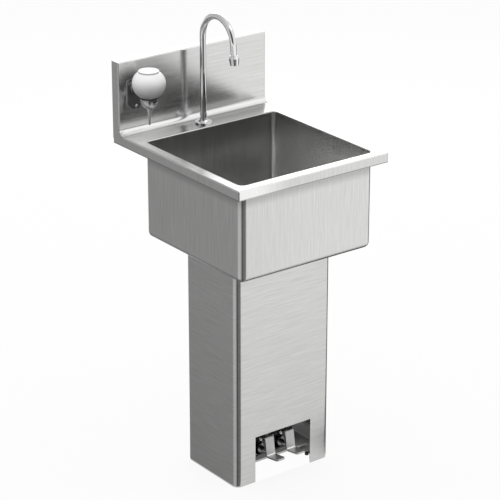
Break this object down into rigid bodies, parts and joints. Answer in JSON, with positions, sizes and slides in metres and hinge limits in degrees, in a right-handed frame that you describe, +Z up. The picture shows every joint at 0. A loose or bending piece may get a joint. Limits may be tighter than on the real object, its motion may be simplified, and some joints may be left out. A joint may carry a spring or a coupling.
{
  "type": "pedestal hand wash sink",
  "caption": "Stainless steel hand wash sink on a pedestal, with foot pedals, a swivelling gooseneck spout, a boxed rear splash and a push-up soap globe.",
  "frame": {"origin": "on the floor, below the middle of the bounding box; the back of the splash and the front rim of the deck are equally far from it", "axes": "+Z up, +X to the right of the user who faces the sink, -Y towards the user"},
  "size_m": [0.46, 0.531, 1.1674],
  "materials": {
    "stainless": "brushed sheet, satin, grain along each panel",
    "spring_steel": "bright drawn wire",
    "chrome": "polished",
    "brass": "machined, dull",
    "copper_tube": "drawn tube, dull",
    "black_rubber": "matt",
    "black_enamel": "semi-gloss",
    "opal_plastic": "glossy, translucent white",
    "white_plastic": "satin"
  },
  "bodies": {
    "base": {"deck_and_splash": "stainless", "bowl": "stainless", "pedestal_shell": "stainless", "rear_access_panel": "stainless", "rear_panel_screws": "stainless", "floor_clips": "stainless", "valve_shelf": "stainless", "shelf_screws": "stainless", "valve_bolts": "stainless", "drain_body": "stainless", "drain_grid": "stainless", "hinge_pins": "stainless", "dispenser_screws": "stainless", "hot_return_spring": "spring_steel", "cold_return_spring": "spring_steel", "plunger_spring": "spring_steel", "spout_flange": "chrome", "spout_collar": "chrome", "hot_bonnet": "chrome", "cold_bonnet": "chrome", "hot_inlet": "chrome", "cold_inlet": "chrome", "riser_lower_nut": "chrome", "riser_upper_nut": "chrome", "tailpiece": "chrome", "tailpiece_nut": "chrome", "trap_bend": "chrome", "trap_inlet_nut": "chrome", "trap_outlet_nut": "chrome", "waste_arm": "chrome", "waste_escutcheon": "chrome", "soap_valve_bell": "chrome", "valve_body": "chrome", "spout_shank": "brass", "shank_locknut": "brass", "drain_locknut": "brass", "riser_tube": "copper_tube", "shelf_feet": "black_rubber", "riser_grommet": "black_rubber", "deck_washer": "black_rubber", "drain_gasket": "black_rubber", "globe_gasket": "black_rubber", "dispenser_plate": "black_enamel", "dispenser_arm": "black_enamel", "soap_globe": "opal_plastic"},
    "hot_pedal": {"hot_pedal": "stainless"},
    "cold_pedal": {"cold_pedal": "stainless"},
    "hot_stem": {"hot_stem": "brass"},
    "cold_stem": {"cold_stem": "brass"},
    "spout": {"gooseneck": "chrome", "aerator_shell": "chrome", "aerator_screen": "stainless"},
    "filler_cap": {"filler_cap": "white_plastic"},
    "soap_plunger": {"soap_plunger": "chrome"}
  },
  "joints": [
    {"name": "hot_pedal_hinge", "type": "hinge", "parent": "base", "child": "hot_pedal", "pos_m": [-0.0325, -0.117, 0.1], "axis": [1, 0, 0], "range_deg": [0, 12], "stiffness_Nm_per_rad": 3, "springref_deg": -14.32},
    {"name": "cold_pedal_hinge", "type": "hinge", "parent": "base", "child": "cold_pedal", "pos_m": [0.0325, -0.117, 0.1], "axis": [1, 0, 0], "range_deg": [0, 12], "stiffness_Nm_per_rad": 3, "springref_deg": -14.32},
    {"name": "hot_stem_slide", "type": "slide", "parent": "base", "child": "hot_stem", "axis": [0, 1, 0], "range_m": [0, 0.00806], "deforming": ["hot_return_spring"]},
    {"name": "cold_stem_slide", "type": "slide", "parent": "base", "child": "cold_stem", "axis": [0, 1, 0], "range_m": [0, 0.00806], "deforming": ["cold_return_spring"]},
    {"name": "spout_swivel", "type": "hinge", "parent": "base", "child": "spout", "pos_m": [0, 0.1945, 0.9], "axis": [0, 0, 1], "range_deg": [-90, 90]},
    {"name": "filler_cap_lift", "type": "slide", "parent": "base", "child": "filler_cap", "axis": [0, 0, 1], "range_m": [0, 0.03]},
    {"name": "soap_push", "type": "slide", "parent": "base", "child": "soap_plunger", "axis": [0, 0, 1], "range_m": [0, 0.006], "stiffness_N_per_m": 400, "springref_m": -0.006, "deforming": ["plunger_spring"]}
  ],
  "couplings": [
    {"joint": "hot_stem_slide", "follows": "hot_pedal_hinge", "m_per_rad": 0.038468},
    {"joint": "cold_stem_slide", "follows": "cold_pedal_hinge", "m_per_rad": 0.038468}
  ]
}
